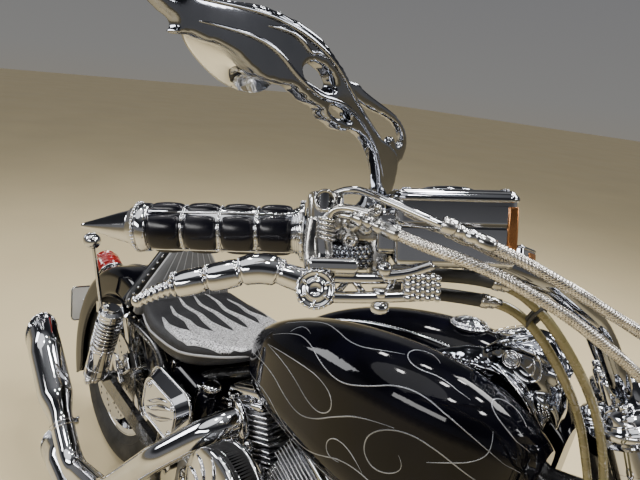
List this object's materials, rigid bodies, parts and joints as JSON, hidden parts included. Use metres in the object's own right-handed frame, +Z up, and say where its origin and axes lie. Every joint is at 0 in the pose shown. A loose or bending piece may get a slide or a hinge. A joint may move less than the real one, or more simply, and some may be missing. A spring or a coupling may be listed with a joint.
{
  "type": "cruiser motorcycle",
  "caption": "Long cruiser motorcycle leaning on its side stand, with twin teardrop tank halves, swept handlebar, low seat with back pad, V-twin engine and upswept exhausts.",
  "frame": {"origin": "on the floor, at the middle of the parked machine's bounding box", "axes": "+X forwards, +Y to the rider's left, +Z up; the machine leans to +Y on its side stand with its front wheel turned to +Y"},
  "size_m": [2.3923, 1.1062, 1.3693],
  "materials": {
    "chrome": "polished",
    "black_paint": "gloss black",
    "engine_alloy": "satin",
    "disc_steel": "brushed",
    "braid": "woven steel sheath",
    "tyre": "matte",
    "seat_leather": "satin black",
    "cable_sleeve": "clear olive sleeve",
    "red_lens": "clear red",
    "plate_white": "gloss, blank"
  },
  "bodies": {
    "chassis": {"air_cleaner": "chrome", "backrest_hoop": "chrome", "cam_cover": "chrome", "cradle_frame": "black_paint", "crankcase_and_gearbox": "engine_alloy", "dampers": "chrome", "forward_foot_controls": "chrome", "front_cylinder": "engine_alloy", "fuel_tank": "black_paint", "lower_exhaust": "chrome", "mudguard_struts": "chrome", "number_plate": "plate_white", "primary_cover": "chrome", "rear_cylinder": "engine_alloy", "rear_mudguard": "black_paint", "rear_turn_signals": "chrome", "rider_seat": "seat_leather", "seat_back_pad": "seat_leather", "side_covers": "chrome", "steering_head_and_backbone": "black_paint", "swinging_arm": "black_paint", "tail_light": "red_lens", "tank_console": "chrome", "upper_exhaust": "chrome"},
    "steering": {"fork_clamps": "chrome", "fork_legs": "chrome", "handlebar": "chrome", "right_grip": "chrome", "left_grip": "chrome", "right_bar_controls": "chrome", "left_bar_controls": "chrome", "brake_lever": "chrome", "clutch_lever": "chrome", "mirrors": "chrome", "headlight": "chrome", "fork_covers_and_signals": "chrome", "front_mudguard": "black_paint", "front_calipers": "chrome", "brake_hoses": "braid", "throttle_cables": "cable_sleeve"},
    "front_wheel": {"front_tyre": "tyre", "front_wheel": "chrome", "front_brake_discs": "disc_steel"},
    "rear_wheel": {"rear_tyre": "tyre", "rear_wheel": "chrome", "rear_brake_disc": "disc_steel", "rear_pulley": "chrome"},
    "side_stand": {"side_stand": "chrome"}
  },
  "joints": [
    {"name": "steering", "type": "hinge", "parent": "chassis", "child": "steering", "pos_m": [0.52972, -0.00531, 0.83224], "axis": [-0.5259, 0.1327, 0.8401], "range_deg": [-36.4, 0]},
    {"name": "front_wheel_spin", "type": "hinge", "parent": "steering", "child": "front_wheel", "pos_m": [0.88561, -0.0803, 0.30712], "axis": [-0.2664, 0.9124, -0.3108], "continuous": true},
    {"name": "rear_wheel_spin", "type": "hinge", "parent": "chassis", "child": "rear_wheel", "pos_m": [-0.7828, -0.08713, 0.32187], "axis": [-0.0007, 0.9877, -0.1564], "continuous": true},
    {"name": "side_stand_fold", "type": "hinge", "parent": "chassis", "child": "side_stand", "pos_m": [-0.04166, 0.03844, 0.1395], "axis": [0.0855, 0.6542, 0.7515], "range_deg": [0, 117]}
  ]
}
